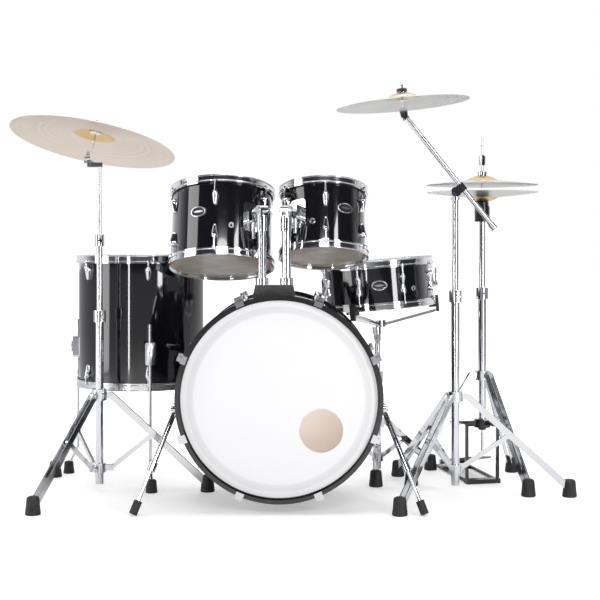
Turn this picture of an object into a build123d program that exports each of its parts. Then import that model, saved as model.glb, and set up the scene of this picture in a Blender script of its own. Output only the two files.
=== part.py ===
"""An acoustic drum kit: bass drum, two hung toms, floor tom, snare drum, hi-hat, ride and crash."""
from build123d import *
from math import cos, hypot, radians, sin, tan
import os

# Frame: Z 0 is the floor, -Y is the audience's side and +Y the drummer's side.
# The origin is on the floor, under the middle of the whole kit.
bass_x = -34.0                # bass drum axis
bass_y = -390.8               # front face of the front hoop

# Drums: shell diameters and depths
bass_diameter = 559.0
bass_depth = 406.0
large_tom_diameter = 305.0
large_tom_depth = 229.0
small_tom_diameter = 254.0
small_tom_depth = 203.0
floor_tom_diameter = 406.0
floor_tom_depth = 406.0
snare_diameter = 356.0
snare_depth = 140.0
shell_wall = 7.0

# Heads and hoops, measured from a shell's radius and bearing edge
film = 1.0                    # drum head
flesh_inner = 0.5             # the head's own hoop stands this far off the shell
flesh_outer = 5.0
flesh_height = 9.0
hoop_gap = 0.5                # between the head's hoop and the counter hoop
hoop_wall = 2.5
hoop_drop = 15.0
hoop_rise = 9.0
hoop_lip = 1.5
step_height = 2.5             # inner step that presses on the head
ear_thickness = 3.0
ear_reach = 9.0               # how far an ear stands out from the hoop's wall

# Bass drum hoops
wood_hoop_wall = 12.0
wood_hoop_width = 38.0
wood_hoop_overhang = 16.0     # past the shell's edge
port_diameter = 125.0
port_x = 120.0
port_z = -90.0

# Tension hardware
rod_radius = 2.8
rod_hole_clearance = 0.4
rod_head_radius = 4.4
rod_head_height = 7.0
lug_width = 20.0
lug_height = 20.0
lug_sink = 4.0                # a lug starts inside the shell's outline and is cut to it
bass_lug_count = 8
tom_lug_count = 6
snare_lug_count = 8

# Heights of the drums
bass_axis_z = bass_diameter / 2 + 46.5  # the wooden hoops clear the floor
floor_tom_top_z = 722.0       # upper bearing edge
snare_z = 636.0               # middle of the shell

# Fits
pivot_clearance = 0.08        # running fit on a pin
tube_clearance = 0.08         # one tube sliding in another
side_gap = 0.4                # between faces that turn or slide past each other


def direction(angle):
    """The level direction at an angle from +X."""
    return Vector(cos(radians(angle)), sin(radians(angle)), 0)


def flipped(frame):
    """The same frame looking the other way along its axis."""
    return Plane(origin=frame.origin, x_dir=frame.x_dir, z_dir=-frame.z_dir)


def around(frame, angle, radius, height):
    """A point at an angle, a radius and a height in a frame."""
    out = frame.x_dir * cos(radians(angle)) + frame.y_dir * sin(radians(angle))
    return frame.origin + out * radius + frame.z_dir * height


def outward(frame, angle, radius, height):
    """A plane on a drum's side: it looks outwards and its X runs along the drum."""
    place = around(frame, angle, radius, height)
    return Plane(origin=place, x_dir=frame.z_dir, z_dir=place - around(frame, 0, 0, height))


def ring(frame, low, high, outer, inner, mode=Mode.ADD):
    """Adds a ring about the frame's axis."""
    with BuildSketch(frame.offset(low)) as section:
        Circle(outer)
        Circle(inner, mode=Mode.SUBTRACT)
    extrude(section.sketch, amount=high - low, mode=mode)


def disc(frame, low, high, radius, mode=Mode.ADD):
    """Adds or cuts a disc about the frame's axis."""
    with BuildSketch(frame.offset(low)) as section:
        Circle(radius)
    extrude(section.sketch, amount=high - low, mode=mode)


def rod(start, end, radius, mode=Mode.ADD):
    """Adds or cuts a round bar between two points."""
    along = Vector(end) - Vector(start)
    with BuildSketch(Plane(origin=start, z_dir=along)) as section:
        Circle(radius)
    extrude(section.sketch, amount=along.length, mode=mode)


def bar(start, end, side, width, height, mode=Mode.ADD):
    """Adds or cuts a flat bar between two points, its width along side."""
    along = Vector(end) - Vector(start)
    with BuildSketch(Plane(origin=start, x_dir=side, z_dir=along)) as section:
        Rectangle(width, height)
    extrude(section.sketch, amount=along.length, mode=mode)


def wing(at, axis, side, radius=5.0, reach=17.0):
    """Adds a wing nut: a hub along its axis with two flat wings to the sides."""
    axis = Vector(axis).normalized()
    rod(at, Vector(at) + axis * 14, radius)
    base = Vector(at) + axis * 8
    bar(base - Vector(side).normalized() * reach, base + Vector(side).normalized() * reach, axis, 10, 4)


def finish(piece, label):
    """Names a piece and writes its file."""
    piece.part.label = label
    export_step(piece.part, f"parts/{label}.step")


os.makedirs("parts", exist_ok=True)


# ---------------------------------------------------------------- drums in common
def make_shell(frame, radius, depth):
    with BuildPart() as shell:
        ring(frame, -depth / 2, depth / 2, radius, radius - shell_wall)
    return shell


def add_head(edge, radius):
    """Adds a head and its own hoop, seated on a bearing edge."""
    disc(edge, 0, film, radius + flesh_outer)
    ring(edge, -flesh_height, 0, radius + flesh_outer, radius + flesh_inner)


def make_heads(frame, radius, depth):
    with BuildPart() as heads:
        for side in (frame, flipped(frame)):
            add_head(side.offset(depth / 2), radius)
    return heads


def make_hoops(frame, radius, depth, count, start):
    """Two flanged steel hoops, with an ear and a rod hole at each lug."""
    inner = radius + flesh_outer + hoop_gap
    outer = inner + hoop_wall
    ear_at = outer + ear_reach / 2
    with BuildPart() as hoops:
        for side, turn in ((frame, 1), (flipped(frame), -1)):
            edge = side.offset(depth / 2)
            ring(edge, -hoop_drop, hoop_rise, outer, inner)
            ring(edge, hoop_rise - hoop_wall, hoop_rise, outer + hoop_lip, inner)
            ring(edge, film, film + step_height, outer, radius + flesh_inner + 1)
            with BuildSketch(edge.offset(-hoop_drop)):
                with PolarLocations(ear_at - 1, count, start_angle=start * turn):
                    Rectangle(ear_reach + 2, 16)
                with PolarLocations(outer + ear_reach / 2, count, start_angle=start * turn):
                    Circle(rod_radius + rod_hole_clearance, mode=Mode.SUBTRACT)
            extrude(amount=ear_thickness)
    return hoops


def rod_reach():
    """How far a tension rod stands out from the shell of a drum with steel hoops."""
    return flesh_outer + hoop_gap + hoop_wall + ear_reach / 2


def add_rod(side, angle, at, low, seat):
    """Adds a tension rod from a height up to its seat, with its square-ended head above."""
    rod(around(side, angle, at, low), around(side, angle, at, seat), rod_radius)
    rod(around(side, angle, at, seat), around(side, angle, at, seat + rod_head_height), rod_head_radius)


def make_lugs(frame, radius, depth, count, start, length, inset):
    """Separate lugs near both edges of a drum, each with its tension rod."""
    at = radius + rod_reach()
    with BuildPart() as lugs:
        for side, turn in ((frame, 1), (flipped(frame), -1)):
            for i in range(count):
                angle = (start + 360 / count * i) * turn
                with BuildSketch(outward(side, angle, radius - lug_sink, depth / 2 - inset)):
                    SlotOverall(length, lug_width)
                extrude(amount=lug_height + lug_sink)
                add_rod(side, angle, at, depth / 2 - inset, depth / 2 - hoop_drop + ear_thickness)
        disc(frame, -depth, depth, radius, mode=Mode.SUBTRACT)
    return lugs


# ---------------------------------------------------------------- bass drum
bass_radius = bass_diameter / 2
bass_middle = bass_y + wood_hoop_overhang + bass_depth / 2
bass_frame = Plane(origin=(bass_x, bass_middle, bass_axis_z), x_dir=(1, 0, 0), z_dir=(0, -1, 0))
wood_inner = bass_radius + flesh_outer + hoop_gap
wood_outer = wood_inner + wood_hoop_wall
bass_start = 180 / bass_lug_count

bass_shell = make_shell(bass_frame, bass_radius, bass_depth)
finish(bass_shell, "bass_shell")

with BuildPart() as bass_hoops:
    for side in (bass_frame, flipped(bass_frame)):
        edge = side.offset(bass_depth / 2)
        ring(edge, wood_hoop_overhang - wood_hoop_width, wood_hoop_overhang, wood_outer, wood_inner)
        ring(edge, film, film + step_height, wood_outer, bass_radius + flesh_inner + 1)
finish(bass_hoops, "bass_hoops")

with BuildPart() as bass_front_head:
    front_edge = bass_frame.offset(bass_depth / 2)
    add_head(front_edge, bass_radius)
    with BuildSketch(front_edge):
        with Locations((port_x, port_z)):
            Circle(port_diameter / 2)
    extrude(amount=film, mode=Mode.SUBTRACT)
finish(bass_front_head, "bass_front_head")

with BuildPart() as bass_batter_head:
    add_head(flipped(bass_frame).offset(bass_depth / 2), bass_radius)
finish(bass_batter_head, "bass_batter_head")

claw_width = 24.0
claw_plate = 4.0
claw_lip = 12.0
claw_ear = 12.0
claw_ear_height = 17.0
bass_rod_at = wood_outer + 9
bass_lug_length = 46.0
bass_lug_height = bass_rod_at - bass_radius + 7
bass_lug_inset = 75.0

with BuildPart() as bass_claws:
    for side in (bass_frame, flipped(bass_frame)):
        rim = bass_depth / 2 + wood_hoop_overhang
        seat = rim - wood_hoop_width + claw_ear
        for i in range(bass_lug_count):
            angle = bass_start + 360 / bass_lug_count * i
            across = outward(side, angle, 1, 0).y_dir
            plate_at = wood_outer + claw_plate / 2 - 1
            bar(around(side, angle, plate_at, seat - claw_ear),
                around(side, angle, plate_at, rim + claw_plate),
                across, claw_width, claw_plate + 2)
            lip_at = wood_outer - claw_lip / 2
            bar(around(side, angle, lip_at, rim), around(side, angle, lip_at, rim + claw_plate),
                across, claw_width, claw_lip)
            ear_at = wood_outer + claw_ear_height / 2 - 1
            bar(around(side, angle, ear_at, seat - claw_ear), around(side, angle, ear_at, seat),
                across, claw_width, claw_ear_height + 2)
            rod(around(side, angle, bass_rod_at, seat - 2 * claw_ear),
                around(side, angle, bass_rod_at, seat + 30),
                rod_radius + rod_hole_clearance, mode=Mode.SUBTRACT)
    disc(bass_frame, -rim, rim, wood_outer, mode=Mode.SUBTRACT)
finish(bass_claws, "bass_claws")

spur_pivot_y = bass_y + 120
spur_pivot_z = bass_axis_z - 41
spur_pin_radius = 6.0
spur_knuckle = 16.0
spur_knuckle_width = 16.0
spur_block = 40.0
spur_face = bass_radius + 16         # outer face of the spur's block, from the drum's axis

with BuildPart() as bass_lugs:
    for side in (bass_frame, flipped(bass_frame)):
        seat = bass_depth / 2 + wood_hoop_overhang - wood_hoop_width + claw_ear
        for i in range(bass_lug_count):
            angle = bass_start + 360 / bass_lug_count * i
            with BuildSketch(outward(side, angle, bass_radius - lug_sink, bass_depth / 2 - bass_lug_inset)):
                SlotOverall(bass_lug_length, lug_width)
            extrude(amount=bass_lug_height + lug_sink)
            add_rod(side, angle, bass_rod_at, bass_depth / 2 - bass_lug_inset, seat)
    for way in (-1, 1):
        pivot = Vector(bass_x, spur_pivot_y, spur_pivot_z)
        bar(pivot + Vector(way * (bass_radius - 30), 0, 0), pivot + Vector(way * spur_face, 0, 0),
            (0, 1, 0), spur_block, spur_block)
        pin_end = spur_face + side_gap * 2 + spur_knuckle_width
        rod(pivot + Vector(way * spur_face, 0, 0), pivot + Vector(way * pin_end, 0, 0), spur_pin_radius)
        rod(pivot + Vector(way * pin_end, 0, 0), pivot + Vector(way * (pin_end + 7), 0, 0),
            spur_pin_radius + 2)
    disc(bass_frame, -bass_depth, bass_depth, bass_radius, mode=Mode.SUBTRACT)
finish(bass_lugs, "bass_lugs")


# ---------------------------------------------------------------- spurs
spur_tube_radius = 8.0
spur_rod_radius = 5.5
spur_clamp_radius = 12.0
spur_out = 108.0              # how far the foot stands out from the pivot
spur_forward = 135.0
spur_tip_height = 38.0
spur_tip_radius = 12.0


# height of the tip's middle that puts its lower edge on the floor
spur_reach = hypot(spur_out, spur_forward)
spur_tip_z = spur_tip_radius
for _ in range(8):
    spur_tip_z = spur_tip_radius * spur_reach / hypot(spur_reach, spur_pivot_z - spur_tip_z)


def make_spur(way):
    middle = spur_face + side_gap + spur_knuckle_width / 2
    pivot = Vector(bass_x + way * middle, spur_pivot_y, spur_pivot_z)
    tip = pivot + Vector(way * spur_out, -spur_forward, spur_tip_z + 0.01 - spur_pivot_z)
    run = tip - pivot
    half = Vector(spur_knuckle_width / 2, 0, 0)
    with BuildPart() as spur:
        rod(pivot - half, pivot + half, spur_knuckle)
        rod(pivot + run.normalized() * (spur_knuckle - 1), pivot + run * 0.55, spur_tube_radius)
        rod(pivot + run * 0.52, pivot + run * 0.6, spur_clamp_radius)
        rod(pivot + run * 0.5, tip, spur_rod_radius)
        rod(tip - run.normalized() * spur_tip_height, tip, spur_tip_radius)
        rod(pivot - half * 2, pivot + half * 2, spur_pin_radius + pivot_clearance, mode=Mode.SUBTRACT)
    return spur


finish(make_spur(-1), "spur_left")
finish(make_spur(1), "spur_right")


# ---------------------------------------------------------------- tom bracket and posts
post_radius = 12.7
post_y = bass_y + 130
post_xs = (bass_x - 52, bass_x + 20)
bracket_x = bass_x - 16
bracket_foot = 138.0
bracket_head = 111.0
bracket_depth = 52.0
bracket_top_z = bass_axis_z + bass_radius + 43
socket_depth = 38.0
lock_radius = 19.0
lock_height = 20.0
post_top_z = bass_axis_z + bass_radius + 210.5
tilt_z = post_top_z + 52.0                # tilt axis of both toms
tilt_pin_radius = 5.0
tilt_knuckle = 14.0
tilt_knuckle_width = 16.0
cheek = 6.0

with BuildPart() as tom_bracket:
    base_z = bass_axis_z + bass_radius - 20
    face = Plane(origin=(bracket_x, post_y + bracket_depth / 2, 0), x_dir=(1, 0, 0), z_dir=(0, -1, 0))
    with BuildSketch(face):
        with BuildLine():
            Polyline((-bracket_foot / 2, base_z), (bracket_foot / 2, base_z),
                     (bracket_head / 2, bracket_top_z),
                     (-bracket_head / 2, bracket_top_z), close=True)
        make_face()
    extrude(amount=bracket_depth)
    disc(bass_frame, -bass_depth / 2, bass_depth / 2, bass_radius, mode=Mode.SUBTRACT)
    for x in post_xs:
        rod((x, post_y, bracket_top_z - socket_depth), (x, post_y, bracket_top_z + 1),
            post_radius + pivot_clearance, mode=Mode.SUBTRACT)
finish(tom_bracket, "tom_bracket")

tom_tilt = 15.5               # both toms lean back towards the drummer
large_tom_place = Vector(bass_x - 181, bass_y + 302, post_top_z - 2)
small_tom_place = Vector(bass_x + 131, bass_y + 282, post_top_z + 14)


def tom_frame(place):
    return Plane(origin=place, x_dir=(1, 0, 0), z_dir=(0, sin(radians(tom_tilt)), cos(radians(tom_tilt))))


def arm_direction(x, place):
    """The level direction from a post to its tom."""
    return Vector(place.X - x, place.Y - post_y, 0).normalized()


def make_post(x, place):
    top = Vector(x, post_y, tilt_z)
    along = arm_direction(x, place)
    across = along.cross(Vector(0, 0, 1))
    with BuildPart() as post:
        rod((x, post_y, bracket_top_z - socket_depth + side_gap), (x, post_y, post_top_z), post_radius)
        rod((x, post_y, bracket_top_z + side_gap), (x, post_y, bracket_top_z + lock_height), lock_radius)
        rod((x, post_y, post_top_z - 10), (x, post_y, tilt_z - tilt_knuckle - 4), post_radius + 4)
        for way in (-1, 1):
            middle = top + across * way * (tilt_knuckle_width / 2 + side_gap + cheek / 2)
            bar(middle - Vector(0, 0, tilt_knuckle + 8), middle, across, cheek, 2 * tilt_knuckle)
            rod(middle - across * cheek / 2, middle + across * cheek / 2, tilt_knuckle)
        half = across * (tilt_knuckle_width / 2 + side_gap + cheek)
        rod(top - half, top + half, tilt_pin_radius)
        rod(top - half * 1.5, top - half, tilt_pin_radius + 3)
        wing(top + half, across, along)
    return post


mount_block = 34.0
mount_block_height = 44.0
arm_radius = 6.0


def make_tom_mount(x, place, frame, radius):
    """The L-shaped arm on the tilter's knuckle and the block that holds it to the shell."""
    top = Vector(x, post_y, tilt_z)
    along = arm_direction(x, place)
    across = along.cross(Vector(0, 0, 1))
    facing = Vector(1, 0, 0).get_signed_angle(-along, Vector(0, 0, 1))
    gap = Vector(place.X - x, place.Y - post_y, 0).length - radius
    elbow = top + along * (gap - mount_block / 2 - 2)
    with BuildPart() as mount:
        rod(top - across * tilt_knuckle_width / 2, top + across * tilt_knuckle_width / 2, tilt_knuckle)
        rod(top + along * (tilt_knuckle - 1), elbow, arm_radius)
        rod(elbow + Vector(0, 0, arm_radius),
            elbow - Vector(0, 0, tilt_z - place.Z + mount_block_height / 2 + 8), arm_radius)
        with BuildSketch(outward(frame, facing, radius - lug_sink, 0)):
            RectangleRounded(mount_block_height, mount_block, 8)
        extrude(amount=mount_block + lug_sink)
        with BuildSketch(outward(frame, facing, radius - lug_sink, 0)):
            RectangleRounded(mount_block_height * 2, mount_block * 1.6, 12)
        extrude(amount=5 + lug_sink)
        disc(frame, -2 * radius, 2 * radius, radius, mode=Mode.SUBTRACT)
        rod(top - across * tilt_knuckle, top + across * tilt_knuckle, tilt_pin_radius + pivot_clearance,
            mode=Mode.SUBTRACT)
    return mount


tom_lug_length = 46.0
tom_lug_inset = 62.0
toms = (
    ("large_tom", large_tom_place, large_tom_diameter / 2, large_tom_depth, post_xs[0], -34.0),
    ("small_tom", small_tom_place, small_tom_diameter / 2, small_tom_depth, post_xs[1], -28.0),
)
for name, place, radius, depth, post_x, start in toms:
    frame = tom_frame(place)
    finish(make_shell(frame, radius, depth), name + "_shell")
    finish(make_heads(frame, radius, depth), name + "_heads")
    finish(make_hoops(frame, radius, depth, tom_lug_count, start), name + "_hoops")
    finish(make_lugs(frame, radius, depth, tom_lug_count, start, tom_lug_length, tom_lug_inset),
           name + "_lugs")
    finish(make_tom_mount(post_x, place, frame, radius), name + "_mount")
    finish(make_post(post_x, place), name + "_post")


# ---------------------------------------------------------------- floor tom
floor_tom_radius = floor_tom_diameter / 2
floor_tom_frame = Plane(origin=(bass_x - bass_radius - 183.5, bass_y + 572,
                                floor_tom_top_z - floor_tom_depth / 2))
floor_tom_start = -77.0
floor_tom_lug_inset = 46.0
leg_angles = (-76.0, 44.0, 164.0)
leg_radius = 5.0
leg_out = 26.0                # leg rods stand this far off the shell
leg_splay = 34.0
leg_bend_z = 95.0
leg_top_z = 517.0
leg_foot_radius = 15.0
leg_foot_height = 36.0
leg_block_z = 426.0
leg_block_height = 70.0

finish(make_shell(floor_tom_frame, floor_tom_radius, floor_tom_depth), "floor_tom_shell")
finish(make_heads(floor_tom_frame, floor_tom_radius, floor_tom_depth), "floor_tom_heads")
finish(make_hoops(floor_tom_frame, floor_tom_radius, floor_tom_depth, tom_lug_count, floor_tom_start),
       "floor_tom_hoops")
finish(make_lugs(floor_tom_frame, floor_tom_radius, floor_tom_depth, tom_lug_count, floor_tom_start,
                 tom_lug_length, floor_tom_lug_inset), "floor_tom_lugs")

with BuildPart() as floor_tom_brackets:
    low = leg_block_z - leg_block_height / 2 - floor_tom_frame.origin.Z
    for angle in leg_angles:
        seat = outward(floor_tom_frame, angle, floor_tom_radius - lug_sink, low + leg_block_height / 2)
        with BuildSketch(seat):
            RectangleRounded(leg_block_height, 34, 6)
        extrude(amount=leg_out + 12 + lug_sink)
        wing_at = around(floor_tom_frame, angle, floor_tom_radius + leg_out + 11, low + leg_block_height / 2)
        wing(wing_at, direction(angle), (0, 0, 1))
        at = floor_tom_radius + leg_out
        rod(around(floor_tom_frame, angle, at, low - 1),
            around(floor_tom_frame, angle, at, low + leg_block_height + 1),
            leg_radius + tube_clearance, mode=Mode.SUBTRACT)
    disc(floor_tom_frame, -floor_tom_depth, floor_tom_depth, floor_tom_radius, mode=Mode.SUBTRACT)
finish(floor_tom_brackets, "floor_tom_brackets")

for i, angle in enumerate(leg_angles):
    top = around(floor_tom_frame, angle, floor_tom_radius + leg_out, leg_top_z - floor_tom_frame.origin.Z)
    bend = Vector(top.X, top.Y, leg_bend_z)
    foot = bend + direction(angle) * leg_splay
    with BuildPart() as leg:
        rod(bend, top, leg_radius)
        rod(bend, Vector(foot.X, foot.Y, leg_foot_height - 8), leg_radius)
        with BuildSketch(Plane(origin=bend)):
            Circle(leg_radius)
        extrude(amount=-leg_radius)
        rod((foot.X, foot.Y, 0), (foot.X, foot.Y, leg_foot_height), leg_foot_radius)
    finish(leg, f"floor_tom_leg_{i + 1}")


# ---------------------------------------------------------------- snare drum
snare_radius = snare_diameter / 2
snare_roll = 4.5
snare_axis_x = bass_x + bass_radius + 38.5
snare_axis_y = bass_y + 620
snare_frame = Plane(origin=(snare_axis_x, snare_axis_y, snare_z),
                    x_dir=(cos(radians(snare_roll)), 0, sin(radians(snare_roll))),
                    z_dir=(-sin(radians(snare_roll)), 0, cos(radians(snare_roll))))
snare_start = -67.5
snare_lug_length = 64.0
strainer_angle = 0.0
lever_pin_radius = 3.0
lever_width = 12.0

finish(make_shell(snare_frame, snare_radius, snare_depth), "snare_shell")
finish(make_heads(snare_frame, snare_radius, snare_depth), "snare_heads")
finish(make_hoops(snare_frame, snare_radius, snare_depth, snare_lug_count, snare_start), "snare_hoops")

lever_pivot = around(snare_frame, strainer_angle, snare_radius + 16, -14)

with BuildPart() as snare_lugs:
    at = snare_radius + rod_reach()
    for i in range(snare_lug_count):
        angle = snare_start + 360 / snare_lug_count * i
        with BuildSketch(outward(snare_frame, angle, snare_radius - lug_sink, 0)):
            SlotOverall(snare_lug_length, lug_width)
        extrude(amount=lug_height + lug_sink)
        for side, turn in ((snare_frame, 1), (flipped(snare_frame), -1)):
            add_rod(side, angle * turn, at, 0, snare_depth / 2 - hoop_drop + ear_thickness)
    for angle in (strainer_angle, strainer_angle + 180):
        with BuildSketch(outward(snare_frame, angle, snare_radius - lug_sink, 0)):
            RectangleRounded(56, 30, 5)
        extrude(amount=8 + lug_sink)
    for way in (-1, 1):
        middle = lever_pivot + snare_frame.y_dir * way * (lever_width / 2 + side_gap + 2)
        bar(middle - snare_frame.x_dir * 12, middle + snare_frame.x_dir * 5, snare_frame.z_dir, 14, 4)
    half = snare_frame.y_dir * (lever_width / 2 + side_gap + 4)
    rod(lever_pivot - half, lever_pivot + half, lever_pin_radius)
    disc(snare_frame, -snare_depth, snare_depth, snare_radius, mode=Mode.SUBTRACT)
finish(snare_lugs, "snare_lugs")

with BuildPart() as snare_lever:
    half = snare_frame.y_dir * lever_width / 2
    rod(lever_pivot - half, lever_pivot + half, lever_pin_radius + 3)
    bar(lever_pivot + snare_frame.z_dir * 4, lever_pivot + snare_frame.z_dir * 52 + snare_frame.x_dir * 3,
        snare_frame.y_dir, lever_width, 4)
    rod(lever_pivot - half * 2, lever_pivot + half * 2, lever_pin_radius + pivot_clearance,
        mode=Mode.SUBTRACT)
finish(snare_lever, "snare_lever")


# ---------------------------------------------------------------- stands in common
thin_tube = 6.35
mid_bore = thin_tube + 1.55   # the thinner tube runs through bushes in the wider one
mid_tube = 9.5
base_bore = mid_tube + 1.4
base_tube = base_bore + 1.8
clamp_outer = mid_tube + 9.5
collar_outer = base_tube + 10.3
collar_height = 30.0
leg_root = collar_outer + 13.0  # leg pivots stand this far off a stand's axis
strip_shift = 8.5             # middle of each leg strip from the leg's own middle
strip_thick = 3.0
strip_width = 20.0
brace_width = 8.0
brace_height = 14.0
foot_core = 24.0
foot_height = 46.0
foot_radius = 18.0


def add_foot(x, y):
    rod((x, y, 0), (x, y, foot_height), foot_radius)


def add_leg(base, angle, top_z, foot_r, hole=0.0):
    """Adds a leg of two flat strips and its rubber foot."""
    out = direction(angle)
    side = direction(angle + 90)
    top = base + out * leg_root + Vector(0, 0, top_z)
    foot = base + out * foot_r + Vector(0, 0, foot_core)
    for way in (-1, 1):
        shift = side * way * strip_shift
        bar(top + shift, foot + shift, side, strip_thick, strip_width)
        rod(top + shift - side * strip_thick / 2, top + shift + side * strip_thick / 2, strip_width / 2)
    add_foot(foot.X, foot.Y)
    if hole:
        rod(top - side * 30, top + side * 30, hole, mode=Mode.SUBTRACT)


def add_collar(base, low, high, outer, bore):
    ring(Plane(origin=base), low, high, outer, bore)


def add_tripod(base, angles, top_z, joint_r, low_z, foot_r, tube):
    """Adds a standing tripod: legs, braces and the two collars that carry them."""
    for angle in angles:
        out = direction(angle)
        side = direction(angle + 90)
        add_leg(base, angle, top_z, foot_r)
        share = (joint_r - leg_root) / (foot_r - leg_root)
        joint_z = top_z + (foot_core - top_z) * share
        low = base + out * tube + Vector(0, 0, low_z)
        bar(low, base + out * joint_r + Vector(0, 0, joint_z), side, brace_width, brace_height)
        bar(base + out * tube + Vector(0, 0, top_z), base + out * (leg_root + 8) + Vector(0, 0, top_z),
            side, 2 * strip_shift, 16)
        pin = base + out * joint_r + Vector(0, 0, joint_z)
        rod(pin - side * (strip_shift + 3), pin + side * (strip_shift + 3), 3.5)
    add_collar(base, top_z - collar_height / 2, top_z + collar_height / 2, collar_outer, tube - 0.5)
    add_collar(base, low_z - 14, low_z + 14, collar_outer - 3, tube - 0.5)


def add_clamp(base, z, bore, angle, outer=clamp_outer):
    """Adds a tube clamp with its wing bolt at the top of a tube."""
    add_collar(base, z - 22, z + 14, outer, bore)
    side = direction(angle)
    wing(base + side * (outer - 1) + Vector(0, 0, z - 4), side, (0, 0, 1))


knuckle_width = 14.0
knuckle_outer = 11.0
knuckle_pin = 4.0
tilter_cheek = 4.0
sleeve_radius = 4.0
felt_radius = 17.0
felt_height = 8.0
cymbal_thickness = 1.6


def add_knuckle(pivot, axis):
    half = Vector(axis).normalized() * knuckle_width / 2
    rod(pivot - half, pivot + half, knuckle_outer)


def add_neck(pivot, axis, toward):
    """Joins a knuckle to the wider tube that ends beside it."""
    bar(pivot + toward * (knuckle_outer + 5), pivot + toward * (knuckle_outer - 2), axis, knuckle_width, 15)


def cut_knuckle(pivot, axis):
    half = Vector(axis).normalized() * knuckle_width
    rod(pivot - half, pivot + half, knuckle_pin + pivot_clearance, mode=Mode.SUBTRACT)


def make_tilter(pivot, axis, up, hole_at):
    """Cheeks and pin around a knuckle, and the post that the cymbal hangs on between two felts."""
    axis = Vector(axis).normalized()
    up = Vector(up).normalized()
    across = axis.cross(up)
    with BuildPart() as tilter:
        for way in (-1, 1):
            middle = pivot + axis * way * (knuckle_width / 2 + side_gap + tilter_cheek / 2)
            rod(middle - axis * tilter_cheek / 2, middle + axis * tilter_cheek / 2, knuckle_outer)
            bar(middle, middle + up * (knuckle_outer + 10), across, 2 * knuckle_outer, tilter_cheek)
        half = axis * (knuckle_width / 2 + side_gap + tilter_cheek)
        rod(pivot - half, pivot + half, knuckle_pin)
        bar(pivot + up * (knuckle_outer + 4), pivot + up * (knuckle_outer + 10), axis,
            knuckle_width + 2 * side_gap + 2 * tilter_cheek, 2 * knuckle_outer)
        wing(pivot + half, axis, up)
        rod(pivot + up * (knuckle_outer + 9), pivot + up * (hole_at + 30), sleeve_radius)
        under = hole_at - cymbal_thickness - side_gap
        rod(pivot + up * (under - felt_height), pivot + up * under, felt_radius)
        rod(pivot + up * (under - felt_height - 3), pivot + up * (under - felt_height), felt_radius + 2)
        over = hole_at + side_gap
        rod(pivot + up * over, pivot + up * (over + felt_height), felt_radius - 2)
        wing(pivot + up * (over + felt_height), up, axis, reach=20)
    return tilter


def make_cymbal(frame, radius, bell_radius, bell_height, bow):
    """A thin cymbal that hangs from the frame's origin, the middle of its hole."""
    hole = sleeve_radius + 1.5
    with BuildPart() as cymbal:
        with BuildSketch(Plane(origin=frame.origin, x_dir=frame.x_dir, z_dir=-frame.y_dir)):
            with BuildLine():
                ThreePointArc((hole, 0), (bell_radius * 0.68, -bell_height * 0.32),
                              (bell_radius, -bell_height))
                ThreePointArc((bell_radius, -bell_height),
                              ((bell_radius + radius) / 2, -bell_height - bow * 0.4),
                              (radius, -bell_height - bow))
                Line((radius, -bell_height - bow), (radius, -bell_height - bow - cymbal_thickness))
                ThreePointArc((radius, -bell_height - bow - cymbal_thickness),
                              ((bell_radius + radius) / 2, -bell_height - bow * 0.4 - cymbal_thickness),
                              (bell_radius, -bell_height - cymbal_thickness))
                ThreePointArc((bell_radius, -bell_height - cymbal_thickness),
                              (bell_radius * 0.68, -bell_height * 0.32 - cymbal_thickness), (hole,
                               -cymbal_thickness))
                Line((hole, -cymbal_thickness), (hole, 0))
            make_face()
        revolve(axis=Axis(frame.origin, frame.z_dir))
    return cymbal


# ---------------------------------------------------------------- snare stand
snare_base = Vector(snare_axis_x, snare_axis_y, 0)
snare_leg_angles = (-95.0, 25.0, 145.0)
snare_leg_top = 174.0
snare_stand_clamp_z = 330.0
snare_tilt_z = 452.0
basket_z = -136.0             # basket hub, measured in the drum's frame from the shell's middle
grip_count = 3
grip_start = -120.0
snare_rim = snare_radius + flesh_outer + hoop_gap + hoop_wall + hoop_lip
snare_low = -snare_depth / 2 - hoop_rise

with BuildPart() as snare_stand_base:
    add_collar(snare_base, 20, snare_stand_clamp_z, base_tube, base_bore)
    add_tripod(snare_base, snare_leg_angles, snare_leg_top, 105, 60, 205, base_tube)
    add_clamp(snare_base, snare_stand_clamp_z, mid_tube + tube_clearance, -120)
finish(snare_stand_base, "snare_stand_base")

snare_tilt = Vector(snare_axis_x, snare_axis_y, snare_tilt_z)
with BuildPart() as snare_stand_post:
    rod(snare_base + Vector(0, 0, 190), snare_tilt - Vector(0, 0, knuckle_outer + 3), mid_tube)
    add_neck(snare_tilt, (0, 1, 0), Vector(0, 0, -1))
    add_knuckle(snare_tilt, (0, 1, 0))
    cut_knuckle(snare_tilt, (0, 1, 0))
finish(snare_stand_post, "snare_stand_post")

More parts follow.
